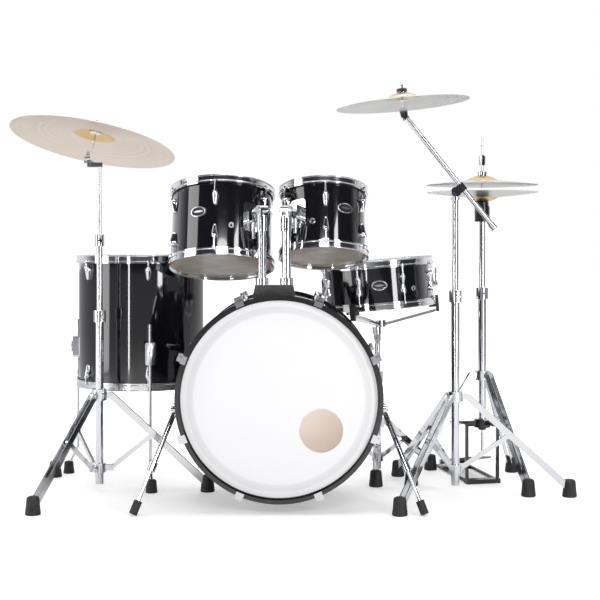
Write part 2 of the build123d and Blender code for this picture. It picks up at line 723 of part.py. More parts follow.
with BuildPart() as snare_basket:
    up = snare_frame.z_dir
    for way in (-1, 1):
        middle = snare_tilt + Vector(0, way * (knuckle_width / 2 + side_gap + tilter_cheek / 2), 0)
        rod(middle - Vector(0, tilter_cheek / 2, 0), middle + Vector(0, tilter_cheek / 2, 0), knuckle_outer)
        bar(middle, middle + up * 22, snare_frame.x_dir, 2 * knuckle_outer, tilter_cheek)
    half = Vector(0, knuckle_width / 2 + side_gap + tilter_cheek, 0)
    rod(snare_tilt - half, snare_tilt + half, knuckle_pin)
    wing(snare_tilt - half, (0, -1, 0), (0, 0, 1))
    rod(snare_tilt + up * 15, snare_tilt + up * 40, knuckle_outer + 4)
    hub = around(snare_frame, 0, 0, basket_z)
    rod(snare_tilt + up * 38, hub, mid_tube)
    rod(hub - up * 8, hub + up * 14, 17)
    for i in range(grip_count):
        angle = grip_start + 360 / grip_count * i
        side = outward(snare_frame, angle, 1, 0).y_dir
        root = around(snare_frame, angle, 12, basket_z)
        elbow = around(snare_frame, angle, snare_rim + 6, snare_low - 22)
        bar(root, elbow, side, 12, 9)
        bar(around(snare_frame, angle, snare_rim + 6, snare_low - 28),
            around(snare_frame, angle, snare_rim + 6, snare_low + 26), side, 16, 9)
        bar(around(snare_frame, angle, snare_rim - 22, snare_low - 6),
            around(snare_frame, angle, snare_rim + 8, snare_low - 6), side, 20, 12)
finish(snare_basket, "snare_basket")


# ---------------------------------------------------------------- ride stand
ride_base = Vector(bass_x - bass_radius - 278.5, bass_y + 305, 0)
ride_leg_angles = (-115.0, 5.0, 125.0)
ride_leg_top = 302.0
ride_joint_r = 165.0
ride_low_z = 80.0
ride_foot_r = 332.0
ride_clamp_z = 550.0
ride_mid_top_z = 783.0
ride_tilt_z = 1034.0
ride_tilt_offset = 28.0
ride_lean_right = 9.4
ride_lean_back = 11.5
ride_radius = 254.0
ride_hole_at = 92.0
pivot_pin = 3.5

with BuildPart() as ride_stand_tube:
    add_collar(ride_base, 30, ride_clamp_z, base_tube, base_bore)
    rod(ride_base + Vector(0, 0, 30), ride_base + Vector(0, 0, 40), base_tube)
    add_clamp(ride_base, ride_clamp_z, mid_tube + tube_clearance, -60)
    add_collar(ride_base, ride_low_z - 14, ride_low_z + 14, collar_outer - 3, base_bore + 0.5)
    for angle in ride_leg_angles:
        out = direction(angle)
        side = direction(angle + 90)
        pin = ride_base + out * leg_root + Vector(0, 0, ride_low_z)
        for way in (-1, 1):
            shift = side * way * (brace_width / 2 + side_gap + 2)
            bar(ride_base + out * 17 + Vector(0, 0, ride_low_z) + shift, pin + out * 7 + shift, side, 4, 18)
        rod(pin - side * (brace_width / 2 + side_gap + 6),
            pin + side * (brace_width / 2 + side_gap + 6), pivot_pin)
finish(ride_stand_tube, "ride_stand_tube")

with BuildPart() as ride_collar:
    add_collar(ride_base, ride_leg_top - 15, ride_leg_top + 20, collar_outer, base_tube + tube_clearance)
    for angle in ride_leg_angles:
        out = direction(angle)
        side = direction(angle + 90)
        pin = ride_base + out * leg_root + Vector(0, 0, ride_leg_top)
        ear = 2 * (strip_shift - strip_thick / 2 - side_gap)
        bar(ride_base + out * 20 + Vector(0, 0, ride_leg_top), pin + out * 8, side, ear, 18)
        rod(pin - side * (strip_shift + 4), pin + side * (strip_shift + 4), pivot_pin)
    wing(ride_base + direction(-55) * (collar_outer - 1) + Vector(0, 0, ride_leg_top + 8),
         direction(-55), (0, 0, 1))
finish(ride_collar, "ride_collar")

ride_joint_z = ride_leg_top + (foot_core - ride_leg_top) * (ride_joint_r - leg_root) / (ride_foot_r - leg_root)
for i, angle in enumerate(ride_leg_angles):
    out = direction(angle)
    side = direction(angle + 90)
    with BuildPart() as ride_leg:
        add_leg(ride_base, angle, ride_leg_top, ride_foot_r, hole=pivot_pin + pivot_clearance)
    finish(ride_leg, f"ride_leg_{i + 1}")
    low = ride_base + out * leg_root + Vector(0, 0, ride_low_z)
    joint = ride_base + out * ride_joint_r + Vector(0, 0, ride_joint_z)
    with BuildPart() as ride_brace:
        bar(low, joint, side, brace_width, brace_height)
        rod(low - side * brace_width / 2, low + side * brace_width / 2, brace_height / 2)
        rod(joint - side * brace_width / 2, joint + side * brace_width / 2, brace_height / 2)
        rod(low - side * 20, low + side * 20, pivot_pin + pivot_clearance, mode=Mode.SUBTRACT)
    finish(ride_brace, f"ride_brace_{i + 1}")

with BuildPart() as ride_mid_tube:
    add_collar(ride_base, 330, ride_mid_top_z, mid_tube, mid_bore)
    add_clamp(ride_base, ride_mid_top_z, thin_tube + tube_clearance, -75, outer=15)
finish(ride_mid_tube, "ride_mid_tube")

ride_tilt = ride_base + Vector(-ride_tilt_offset, 0, ride_tilt_z)
ride_up = Vector(tan(radians(ride_lean_right)), tan(radians(ride_lean_back)), 1).normalized()
ride_tilt_axis = Vector(0, 0, 1).cross(ride_up).normalized()
with BuildPart() as ride_upper_tube:
    rod(ride_base + Vector(0, 0, 560), ride_base + Vector(0, 0, ride_tilt_z - 14), thin_tube)
    bar(ride_base + Vector(10, 0, ride_tilt_z - 22), ride_tilt + Vector(-9, 0, -22), (0, 1, 0), 16, 14)
    bar(ride_tilt - Vector(0, 0, 24), ride_tilt - Vector(0, 0, 6), ride_tilt_axis, knuckle_width, 16)
    add_knuckle(ride_tilt, ride_tilt_axis)
    cut_knuckle(ride_tilt, ride_tilt_axis)
finish(ride_upper_tube, "ride_upper_tube")
finish(make_tilter(ride_tilt, ride_tilt_axis, ride_up, ride_hole_at), "ride_tilter")

ride_frame = Plane(origin=ride_tilt + ride_up * ride_hole_at, x_dir=(1, 0, 0), z_dir=ride_up)
finish(make_cymbal(ride_frame, ride_radius, 62, 20, 24), "ride_cymbal")


# ---------------------------------------------------------------- boom stand
boom_base = Vector(bass_x + bass_radius + 255.5, bass_y + 280, 0)
boom_leg_angles = (-124.0, -4.0, 116.0)
boom_clamp_z = 612.0
boom_pivot_z = 927.0
boom_pin = 5.0
boom_slope = 51.4             # the arm's rise above level, towards the drums
boom_low_length = 150.0       # arm below the clamp
boom_high_length = 283.0
boom_arm_radius = 8.0
boom_offset = 22.0            # the arm passes this far above its pivot
boom_plane = 19.0             # the arm hangs this far in front of the stand's axis
crash_radius = 203.0
crash_hole_at = 68.0
crash_roll = 5.0

with BuildPart() as boom_stand_base:
    add_collar(boom_base, 30, boom_clamp_z, base_tube, base_bore)
    add_tripod(boom_base, boom_leg_angles, 302, 165, 80, 345, base_tube)
    add_clamp(boom_base, boom_clamp_z, mid_tube + tube_clearance, -80)
finish(boom_stand_base, "boom_stand_base")

boom_pivot = boom_base + Vector(0, -boom_plane, boom_pivot_z)
boom_along = Vector(-cos(radians(boom_slope)), 0, sin(radians(boom_slope)))
boom_above = Vector(sin(radians(boom_slope)), 0, cos(radians(boom_slope)))
with BuildPart() as boom_upper_tube:
    rod(boom_base + Vector(0, 0, 330), boom_base + Vector(0, 0, boom_pivot_z + 6), mid_tube)
    rod(boom_pivot + Vector(0, 8 + side_gap, 0), boom_pivot + Vector(0, boom_plane, 0), 15)
    rod(boom_base + Vector(0, 0, boom_pivot_z - 24), boom_base + Vector(0, 0, boom_pivot_z - 16), 14)
    rod(boom_pivot - Vector(0, 8 + 2 * side_gap + 2, 0), boom_pivot + Vector(0, boom_plane, 0), boom_pin)
    wing(boom_pivot - Vector(0, 8 + 2 * side_gap, 0), (0, -1, 0), (1, 0, 1), radius=8)
finish(boom_upper_tube, "boom_upper_tube")

boom_low = boom_pivot + boom_above * boom_offset - boom_along * boom_low_length
crash_tilt = boom_pivot + boom_above * boom_offset + boom_along * boom_high_length
with BuildPart() as boom_arm:
    rod(boom_pivot - Vector(0, 8, 0), boom_pivot + Vector(0, 8, 0), 15)
    bar(boom_pivot + boom_above * 9, boom_pivot + boom_above * (boom_offset + 10), boom_along, 26, 16)
    rod(boom_low, crash_tilt - boom_along * (knuckle_outer + 3), boom_arm_radius)
    add_neck(crash_tilt, (0, 1, 0), -boom_along)
    rod(boom_low - boom_along * 12, boom_low + boom_along * 8, boom_arm_radius + 2)
    add_knuckle(crash_tilt, (0, 1, 0))
    cut_knuckle(crash_tilt, (0, 1, 0))
    rod(boom_pivot - Vector(0, 20, 0), boom_pivot + Vector(0, 20, 0), boom_pin + pivot_clearance,
        mode=Mode.SUBTRACT)
finish(boom_arm, "boom_arm")

crash_up = Vector(-sin(radians(crash_roll)), 0, cos(radians(crash_roll)))
finish(make_tilter(crash_tilt, (0, 1, 0), crash_up, crash_hole_at), "crash_tilter")
crash_frame = Plane(origin=crash_tilt + crash_up * crash_hole_at, x_dir=(1, 0, 0), z_dir=crash_up)
finish(make_cymbal(crash_frame, crash_radius, 52, 18, 18), "crash_cymbal")


# ---------------------------------------------------------------- hi-hat
hat_base = Vector(bass_x + bass_radius + 365.5, bass_y + 470, 0)
hat_leg_angles = (-170.0, 57.0, -62.0)
hat_heading = 102.0           # from the stand's axis to the pedal's heel
hat_heel = 286.0
hat_clamp_z = 614.0
hat_seat_z = 903.0            # top of the seat, where the lower cymbal rests
hat_radius = 178.0
hat_open = 22.0
hat_rod = 3.2
hat_rod_top = 1110.0
hat_bell_height = 16.0
hat_bow = 14.0
pedal_length = 262.0
pedal_width = 78.0
pedal_toe_z = 78.0
pedal_heel_z = 22.0
pedal_pin = 4.0
frame_half = 52.0

hat_out = direction(hat_heading)
hat_side = direction(hat_heading - 90)
heel = hat_base + hat_out * hat_heel + Vector(0, 0, pedal_heel_z)
with BuildPart() as hihat_base:
    add_collar(hat_base, 172, hat_clamp_z, base_tube, base_bore)
    add_clamp(hat_base, hat_clamp_z, mid_tube + tube_clearance, -95)
    add_collar(hat_base, 332, 362, collar_outer, base_tube - 0.5)
    for angle in hat_leg_angles:
        out = direction(angle)
        side = direction(angle + 90)
        add_leg(hat_base, angle, 347, 235)
        bar(hat_base + out * base_tube + Vector(0, 0, 347), hat_base + out * 38 + Vector(0, 0, 347),
            side, 17, 16)
        bar(hat_base + out * base_tube + Vector(0, 0, 196), hat_base + out * 126 + Vector(0, 0, 196),
            side, 14, 10)
    add_collar(hat_base, 180, 208, collar_outer + 3, base_tube - 0.5)
    cross = hat_base + Vector(0, 0, 192)
    bar(cross - hat_side * (frame_half + 5), cross + hat_side * (frame_half + 5), hat_out, 16, 16)
    rod(cross - Vector(0, 0, 9), cross + Vector(0, 0, 9), 7, mode=Mode.SUBTRACT)
    floor_bar = hat_base + Vector(0, 0, 7)
    bar(floor_bar - hat_side * (frame_half + 5), floor_bar + hat_side * (frame_half + 5), hat_out, 30, 14)
    for way in (-1, 1):
        side_at = hat_side * way * frame_half
        bar(hat_base + side_at + Vector(0, 0, 4), cross + side_at, hat_out, 12, 8)
        bar(floor_bar + side_at, hat_base + side_at + hat_out * (hat_heel + 16) + Vector(0, 0, 7),
            hat_side, 8, 8)
        bar(heel + side_at * 0.86 - Vector(0, 0, pedal_heel_z), heel + side_at * 0.86 + Vector(0, 0, 8),
            hat_out, 14, 8)
    bar(hat_base + hat_out * (hat_heel - 40) + Vector(0, 0, 4),
        hat_base + hat_out * (hat_heel + 20) + Vector(0, 0, 4),
        hat_side, 2 * frame_half, 8)
    rod(heel - hat_side * (frame_half - 4), heel + hat_side * (frame_half - 4), pedal_pin)
finish(hihat_base, "hihat_base")

toe = hat_base + hat_out * (hat_heel - pedal_length) + Vector(0, 0, pedal_toe_z)
with BuildPart() as hihat_footboard:
    bar(heel, toe, hat_side, pedal_width, 7)
    rod(heel - hat_side * pedal_width / 2, heel + hat_side * pedal_width / 2, pedal_pin + 5)
    rod(heel - hat_side * pedal_width, heel + hat_side * pedal_width, pedal_pin + pivot_clearance,
        mode=Mode.SUBTRACT)
finish(hihat_footboard, "hihat_footboard")

with BuildPart() as hihat_tube:
    add_collar(hat_base, 400, 850, mid_tube, hat_rod + 3)
    add_collar(hat_base, 840, hat_seat_z - 14, 24, hat_rod + 3)
    add_collar(hat_base, hat_seat_z - 14, hat_seat_z, 21, hat_rod + 3)
finish(hihat_tube, "hihat_tube")

lower_up = Vector(0, 0, -1)
lower_frame = Plane(origin=hat_base + Vector(0, 0, hat_seat_z), x_dir=(1, 0, 0), z_dir=lower_up)
finish(make_cymbal(lower_frame, hat_radius, 48, hat_bell_height, hat_bow), "hihat_lower_cymbal")

hat_edge_z = hat_seat_z + hat_bell_height + hat_bow + cymbal_thickness
hat_upper_hole = hat_edge_z + hat_open + hat_bell_height + hat_bow + cymbal_thickness
upper_frame = Plane(origin=hat_base + Vector(0, 0, hat_upper_hole), x_dir=(1, 0, 0), z_dir=(0, 0, 1))
finish(make_cymbal(upper_frame, hat_radius, 48, hat_bell_height, hat_bow), "hihat_upper_cymbal")

with BuildPart() as hihat_rod:
    rod(hat_base + Vector(0, 0, pedal_toe_z + 14), hat_base + Vector(0, 0, hat_rod_top), hat_rod)
    rod(hat_base + Vector(0, 0, pedal_toe_z + 14), hat_base + Vector(0, 0, 160), 5)
    under = hat_upper_hole - cymbal_thickness
    rod(hat_base + Vector(0, 0, under - 12), hat_base + Vector(0, 0, under), 15)
    rod(hat_base + Vector(0, 0, under - 20), hat_base + Vector(0, 0, hat_upper_hole + 60), sleeve_radius + 1)
    rod(hat_base + Vector(0, 0, hat_upper_hole), hat_base + Vector(0, 0, hat_upper_hole + 12), 15)
    rod(hat_base + Vector(0, 0, hat_upper_hole + 34), hat_base + Vector(0, 0, hat_upper_hole + 62), 11)
    wing(hat_base + Vector(0, -10, hat_upper_hole + 48), (0, -1, 0), (0, 0, 1))
finish(hihat_rod, "hihat_rod")
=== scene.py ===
"""The looks of the drum kit: camera, light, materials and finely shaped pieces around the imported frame."""
from math import cos, degrees, pi, radians, sin

import bmesh
import bpy
import numpy as np
from mathutils import Matrix, Vector


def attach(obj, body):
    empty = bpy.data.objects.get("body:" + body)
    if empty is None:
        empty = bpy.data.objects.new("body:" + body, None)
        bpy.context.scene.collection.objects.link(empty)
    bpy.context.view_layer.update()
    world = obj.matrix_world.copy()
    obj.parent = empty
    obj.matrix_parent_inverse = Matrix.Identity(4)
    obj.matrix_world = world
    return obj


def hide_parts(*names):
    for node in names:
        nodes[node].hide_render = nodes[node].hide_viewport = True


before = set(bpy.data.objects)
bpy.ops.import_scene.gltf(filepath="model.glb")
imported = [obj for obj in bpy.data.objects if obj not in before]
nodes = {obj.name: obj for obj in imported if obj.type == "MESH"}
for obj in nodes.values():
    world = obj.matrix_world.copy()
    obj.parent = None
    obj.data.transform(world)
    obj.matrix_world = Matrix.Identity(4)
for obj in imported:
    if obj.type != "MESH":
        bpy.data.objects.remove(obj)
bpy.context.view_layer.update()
TOMS_AND_SNARE = ("floor_tom", "large_tom", "small_tom", "snare")
FULL_TURN = 2 * pi


# ---------------------------------------------------------------- camera, light and floor
CAMERA_AT = (0.0255, -3.8908, 0.765)
CAMERA_LENS = 74.1
CAMERA_SENSOR = 36.0
CAMERA_SHIFT = -0.0917
# name: place, aim, width, height, power, and whether chrome and bronze mirror it
SOFTBOXES = {
    "key_right": ((2.4, -3.2, 1.4), (0, 0, 0.6), 0.7, 2.8, 62, True),
    "fill_left": ((-3.4, -1.2, 1.3), (0, 0, 0.6), 1.6, 2.6, 42, True),
    "strip_left": ((-1.5, -3.6, 0.7), (0, 0, 0.5), 0.14, 1.6, 11, True),
    "overhead": ((0, -0.2, 3.4), (0, 0, 0), 3.2, 2.4, 70, True),
    "inside_bass": ((-0.03, -0.25, 0.33), (-0.03, 0.1, 0.30), 0.3, 0.3, 0.8, True),
    "front_high": ((0.2, -4.4, 2.9), (0, 0, 0.4), 1.8, 0.7, 42, True),
    "behind": ((0, 3.2, 2.4), (0, 0, 0.6), 3.6, 1.8, 45, False),
}
# share of the way from the camera's side to the far side: how bright the world is there
WORLD_DARK = (0.46, (0.035, 0.037, 0.042, 1))
WORLD_BRIGHT = (0.74, (0.95, 0.95, 0.97, 1))


def make_camera():
    data = bpy.data.cameras.new("camera")
    data.lens = CAMERA_LENS
    data.sensor_width = CAMERA_SENSOR
    data.shift_y = CAMERA_SHIFT
    camera = bpy.data.objects.new("camera", data)
    camera.location = CAMERA_AT
    camera.rotation_euler = (radians(90), 0, 0)
    bpy.context.collection.objects.link(camera)
    bpy.context.scene.camera = camera


def softbox(name, at, aim, width, height, power, mirrored):
    data = bpy.data.lights.new(name, "AREA")
    data.shape = "RECTANGLE"
    data.size, data.size_y, data.energy = width, height, power
    light = bpy.data.objects.new(name, data)
    light.location = at
    light.visible_glossy = mirrored
    light.rotation_euler = (Vector(aim) - Vector(at)).to_track_quat("-Z", "Y").to_euler()
    bpy.context.collection.objects.link(light)


def make_world():
    world = bpy.data.worlds.new("studio")
    bpy.context.scene.world = world
    world.use_nodes = True
    tree = world.node_tree
    tree.nodes.clear()
    out = tree.nodes.new("ShaderNodeOutputWorld")
    seen = tree.nodes.new("ShaderNodeBackground")
    seen.inputs["Color"].default_value = (1, 1, 1, 1)
    lit = tree.nodes.new("ShaderNodeBackground")
    path = tree.nodes.new("ShaderNodeLightPath")
    mix = tree.nodes.new("ShaderNodeMixShader")
    place = tree.nodes.new("ShaderNodeTexCoord")
    split = tree.nodes.new("ShaderNodeSeparateXYZ")
    ramp = tree.nodes.new("ShaderNodeValToRGB")
    shift = tree.nodes.new("ShaderNodeMapRange")
    shift.inputs["From Min"].default_value = -1.0
    shift.inputs["From Max"].default_value = 1.0
    for stop, (place_at, color) in zip(ramp.color_ramp.elements, (WORLD_DARK, WORLD_BRIGHT)):
        stop.position, stop.color = place_at, color
    tree.links.new(place.outputs["Generated"], split.inputs[0])
    tree.links.new(split.outputs["Y"], shift.inputs["Value"])
    tree.links.new(shift.outputs["Result"], ramp.inputs["Fac"])
    tree.links.new(ramp.outputs["Color"], lit.inputs["Color"])
    tree.links.new(path.outputs["Is Camera Ray"], mix.inputs[0])
    tree.links.new(lit.outputs[0], mix.inputs[1])
    tree.links.new(seen.outputs[0], mix.inputs[2])
    tree.links.new(mix.outputs[0], out.inputs["Surface"])


make_camera()
make_world()
for name, facts in SOFTBOXES.items():
    softbox(name, *facts)
bpy.context.scene.view_settings.view_transform = "Standard"


# ---------------------------------------------------------------- materials
def material(name, color, roughness, metallic=0.0, coat=0.0, sheen=0.0, alpha=1.0, specular=0.5):
    """A Principled material; the constant values are set on its own sockets."""
    made = bpy.data.materials.new(name)
    made.use_nodes = True
    shader = made.node_tree.nodes["Principled BSDF"]
    shader.inputs["Base Color"].default_value = (*color, 1)
    shader.inputs["Roughness"].default_value = roughness
    shader.inputs["Metallic"].default_value = metallic
    shader.inputs["Coat Weight"].default_value = coat
    shader.inputs["Coat Roughness"].default_value = 0.03
    shader.inputs["Sheen Weight"].default_value = sheen
    shader.inputs["Alpha"].default_value = alpha
    shader.inputs["Specular IOR Level"].default_value = specular
    return made


def add(made, kind, **values):
    """Adds a node and sets its sockets or settings by name."""
    node = made.node_tree.nodes.new(kind)
    for key, value in values.items():
        name = key.replace("_", " ")
        if name in node.inputs:
            node.inputs[name].default_value = value
        else:
            setattr(node, key, value)
    return node


def link(made, start, end):
    made.node_tree.links.new(start, end)


def position(made, stretch=(1, 1, 1)):
    """The piece's own coordinates in metres, stretched per axis."""
    place = add(made, "ShaderNodeTexCoord")
    scale = add(made, "ShaderNodeVectorMath", operation="MULTIPLY")
    scale.inputs[1].default_value = stretch
    link(made, place.outputs["Object"], scale.inputs[0])
    return scale.outputs[0]


NOISE_DETAIL = 4.0
NOISE_ENDS = (0.35, 0.65)     # the noise values where the dark and the light end start


def vary(made, scale, dark, light, stretch=(1, 1, 1)):
    """Varies the colour between two colours, or the roughness between two numbers, by noise."""
    shader = made.node_tree.nodes["Principled BSDF"]
    noise = add(made, "ShaderNodeTexNoise", Scale=scale, Detail=NOISE_DETAIL)
    link(made, position(made, stretch), noise.inputs["Vector"])
    ramp = add(made, "ShaderNodeValToRGB")
    coloured = isinstance(dark, tuple)
    for stop, place_at, value in zip(ramp.color_ramp.elements, NOISE_ENDS, (dark, light)):
        stop.position = place_at
        stop.color = (*value, 1) if coloured else (value, value, value, 1)
    link(made, noise.outputs["Fac"], ramp.inputs["Fac"])
    link(made, ramp.outputs["Color"], shader.inputs["Base Color" if coloured else "Roughness"])


def bump(made, height, strength, distance):
    """Adds a bump from a height output."""
    shader = made.node_tree.nodes["Principled BSDF"]
    node = add(made, "ShaderNodeBump", Strength=strength, Distance=distance)
    link(made, height, node.inputs["Height"])
    link(made, node.outputs["Normal"], shader.inputs["Normal"])


def noise_bump(made, scale, strength, distance, stretch=(1, 1, 1)):
    """Adds a bump from noise."""
    noise = add(made, "ShaderNodeTexNoise", Scale=scale, Detail=3.0)
    link(made, position(made, stretch), noise.inputs["Vector"])
    bump(made, noise.outputs["Fac"], strength, distance)


def distance_from(made, centre=(0, 0, 0)):
    """How far each point stands from a centre, in the piece's own coordinates."""
    away = add(made, "ShaderNodeVectorMath", operation="DISTANCE")
    place = add(made, "ShaderNodeTexCoord")
    link(made, place.outputs["Object"], away.inputs[0])
    away.inputs[1].default_value = centre
    return away.outputs["Value"]


def finish(name, color, roughness, varied, bumped=None, **looks):
    """A material whose colour or roughness is varied by noise, with a noise bump if one is given."""
    made = material(name, color, roughness, **looks)
    vary(made, *varied)
    if bumped:
        noise_bump(made, *bumped)
    return made


FILM_SHADE = 0.97


def make_film(name, color, roughness, alpha):
    """Drum film, fully or partly opaque."""
    shade = tuple(c * FILM_SHADE for c in color)
    return finish(name, color, roughness, (16.0, shade, color), (700.0, 0.08, 0.0003), alpha=alpha)


# distance from the bass head's middle: brightness, with the damping ring's grey near the rim
BASS_HEAD_TONES = ((0.0, 0.90), (0.243, 0.90), (0.247, 0.80), (0.262, 0.78), (0.266, 0.88), (0.29, 0.9))


def make_bass_head(centre):
    """White film that shows the grey of the damping ring behind its rim."""
    made = material("bass_front_film", (0.9, 0.9, 0.91), 0.32)
    shader = made.node_tree.nodes["Principled BSDF"]
    ramp = add(made, "ShaderNodeValToRGB")
    while len(ramp.color_ramp.elements) < len(BASS_HEAD_TONES):
        ramp.color_ramp.elements.new(0.5)
    for element, (at, value) in zip(ramp.color_ramp.elements, BASS_HEAD_TONES):
        element.position = at
        element.color = (value, value, value * 1.01, 1)
    link(made, distance_from(made, centre), ramp.inputs["Fac"])
    link(made, ramp.outputs["Color"], shader.inputs["Base Color"])
    noise_bump(made, 500.0, 0.06, 0.0003)
    return made


GROOVES = 2400.0          # radians of groove wave per metre from the middle
BAND_SCALE = 90.0         # broad tone bands round the middle
BAND_DARK, BAND_LIGHT = 0.93, 1.04
BELL_EDGE = 0.002         # half the width over which the bell's tone meets the bow's
LATHED_SHINE = 0.75       # anisotropy round the middle


def make_bronze(name, color, bell, bell_radius, rough):
    """Lathed bronze: fine grooves round the middle and a brighter bell."""
    made = material(name, color, rough, metallic=1.0)
    shader = made.node_tree.nodes["Principled BSDF"]
    shader.inputs["Anisotropic"].default_value = LATHED_SHINE
    tangent = add(made, "ShaderNodeTangent", direction_type="RADIAL", axis="Z")
    link(made, tangent.outputs[0], shader.inputs["Tangent"])
    away = distance_from(made)
    groove = add(made, "ShaderNodeMath", operation="MULTIPLY")
    groove.inputs[1].default_value = GROOVES
    wave = add(made, "ShaderNodeMath", operation="SINE")
    link(made, away, groove.inputs[0])
    link(made, groove.outputs[0], wave.inputs[0])
    bump(made, wave.outputs[0], 0.18, 0.0004)
    broad = add(made, "ShaderNodeTexNoise", Scale=BAND_SCALE, Detail=2.0, noise_dimensions="1D")
    link(made, away, broad.inputs["W"])
    tint = add(made, "ShaderNodeValToRGB")
    tint.color_ramp.elements[0].position, tint.color_ramp.elements[1].position = 0.3, 0.7
    tint.color_ramp.elements[0].color = (*(c * BAND_DARK for c in color), 1)
    tint.color_ramp.elements[1].color = (*(min(1.0, c * BAND_LIGHT) for c in color), 1)
    link(made, broad.outputs["Fac"], tint.inputs["Fac"])
    edge = add(made, "ShaderNodeMapRange")
    edge.inputs["From Min"].default_value = bell_radius - BELL_EDGE
    edge.inputs["From Max"].default_value = bell_radius + BELL_EDGE
    link(made, away, edge.inputs["Value"])
    mix = add(made, "ShaderNodeMix", data_type="RGBA")
    mix.inputs["A"].default_value = (*bell, 1)
    link(made, edge.outputs["Result"], mix.inputs["Factor"])
    link(made, tint.outputs["Color"], mix.inputs["B"])
    link(made, mix.outputs["Result"], shader.inputs["Base Color"])
    return made


# The floor's painted glow: emission that only the camera sees, weak near the kit and full far out, so the far
# floor reads white.
GLOW_NEAR, GLOW_FAR = (0.7, 0.34), (3.0, 1.0)      # distance from the middle, strength


def make_glowing_floor():
    made = finish("pale_glowing_floor", (0.86, 0.86, 0.865), 0.75, (2.0, (0.84, 0.84, 0.845), (0.88, 0.88, 0.88)),
                  specular=0.15)
    shader = made.node_tree.nodes["Principled BSDF"]
    shader.inputs["Emission Color"].default_value = (1, 1, 1, 1)
    glow = add(made, "ShaderNodeMapRange")
    glow.inputs["From Min"].default_value, glow.inputs["To Min"].default_value = GLOW_NEAR
    glow.inputs["From Max"].default_value, glow.inputs["To Max"].default_value = GLOW_FAR
    seen = add(made, "ShaderNodeLightPath")
    only = add(made, "ShaderNodeMath", operation="MULTIPLY")
    link(made, distance_from(made), glow.inputs["Value"])
    link(made, glow.outputs["Result"], only.inputs[0])
    link(made, seen.outputs["Is Camera Ray"], only.inputs[1])
    link(made, only.outputs[0], shader.inputs["Emission Strength"])
    return made


# colour, roughness, (noise scale, dark, light, stretch), (bump scale, strength, distance, stretch)
CHROME = finish("chrome", (0.74, 0.75, 0.77), 0.07, (7.0, 0.04, 0.13), metallic=1.0)
WRAP = finish("black_wrap", (0.006, 0.006, 0.008), 0.09, (3.0, 0.06, 0.11), (60.0, 0.02, 0.0004), coat=1.0)
HOOP_BLACK = finish("hoop_black", (0.008, 0.008, 0.009), 0.16,
                    (9.0, (0.006, 0.006, 0.007), (0.014, 0.013, 0.013), (1, 8, 1)),
                    (90.0, 0.05, 0.0004, (1, 6, 1)), coat=0.8)
PLY = finish("ply_inside", (0.62, 0.42, 0.27), 0.5,
             (14.0, (0.47, 0.29, 0.17), (0.72, 0.52, 0.34), (1, 1, 7)),
             (120.0, 0.15, 0.0004, (1, 1, 9)))
RUBBER = finish("black_rubber", (0.012, 0.012, 0.013), 0.55,
                (30.0, (0.008, 0.008, 0.009), (0.024, 0.024, 0.026)), (300.0, 0.25, 0.0005))
BLACK_METAL = finish("black_metal", (0.012, 0.012, 0.014), 0.3, (40.0, 0.24, 0.4), (220.0, 0.08, 0.0004),
                     coat=0.3)
FELT = finish("black_felt", (0.02, 0.02, 0.021), 0.95,
              (260.0, (0.008, 0.008, 0.009), (0.05, 0.05, 0.052)), (420.0, 0.7, 0.001), sheen=0.6)
HEAD_WHITE = make_film("batter_film", (0.88, 0.88, 0.88), 0.45, 1.0)
HEAD_CLEAR = make_film("clear_film", (0.9, 0.88, 0.84), 0.15, 0.3)
# Dark grey metal for the bracket's faces towards the camera: a painted reflection of the dark the chrome mirrors
# there.
GREY_PAINTED_REFLECTION = finish("grey_painted_reflection_face", (0.16, 0.16, 0.17), 0.28, (12.0, 0.22, 0.34), metallic=0.7)
BADGE = material("badge_plate", (0.72, 0.73, 0.75), 0.25, metallic=1.0)
BADGE_DARK = material("badge_centre", (0.02, 0.02, 0.022), 0.35)


# ---------------------------------------------------------------- reading the CAD frame
def coordinates(name):
    """The node's vertices as an array."""
    mesh = nodes[name].data
    data = np.empty(len(mesh.vertices) * 3)
    mesh.vertices.foreach_get("co", data)
    return data.reshape(-1, 3)


WELD_GRID = 1e5      # vertices that round to the same hundredth of a millimetre are one


def island_groups(name):
    """The vertex numbers of the node's separate solids."""
    points = coordinates(name)
    keys = {}
    rounded = np.round(points * WELD_GRID).astype(int)
    same = np.array([keys.setdefault(tuple(k), len(keys)) for k in rounded])
    parent = list(range(len(keys)))

    def find(a):
        while parent[a] != a:
            parent[a] = parent[parent[a]]
            a = parent[a]
        return a

    for polygon in nodes[name].data.polygons:
        first, *rest = (same[v] for v in polygon.vertices)
        for other in rest:
            parent[find(other)] = find(first)
    groups = {}
    for index, key in enumerate(same):
        groups.setdefault(find(key), []).append(index)
    return list(groups.values())


def islands(name):
    """The node's separate solids, each as an array of its vertices."""
    points = coordinates(name)
    return [points[group] for group in island_groups(name)]


def middle(points):
    return Vector((points.min(axis=0) + points.max(axis=0)) / 2)


def mean_point(points):
    """The middle of a tilted disc."""
    return Vector(points.mean(axis=0))


def reach_out(points, origin, axis):
    """The largest distance of the points from an axis through an origin."""
    away = points - np.array(origin)
    along = away @ np.array(axis)
    return float(np.sqrt(np.maximum((away ** 2).sum(axis=1) - along ** 2, 0)).max())


def drum(name, top_at, bottom_at):
    """A drum's place: the middles of its two heads, its axis, its middle and its shell's radius."""
    axis = (top_at - bottom_at).normalized()
    return {"top": top_at, "bottom": bottom_at, "axis": axis, "half": (top_at + bottom_at) / 2,
            "shell_radius": reach_out(coordinates(f"{name}_shell"), top_at, axis)}


def two_heads(name):
    """A drum placed by the two head films in its one heads node."""
    heads = sorted(islands(f"{name}_heads"), key=lambda points: -points[:, 2].mean())[:2]
    return drum(name, *(mean_point(head) for head in heads))


# ---------------------------------------------------------------- mesh building
NEARLY_ALONG = 0.9      # cosine above which a direction counts as along an axis
ON_AXIS = 1e-6          # a smaller radius needs no cap
WELD = 1e-6
SHARP_ANGLE = 38.0


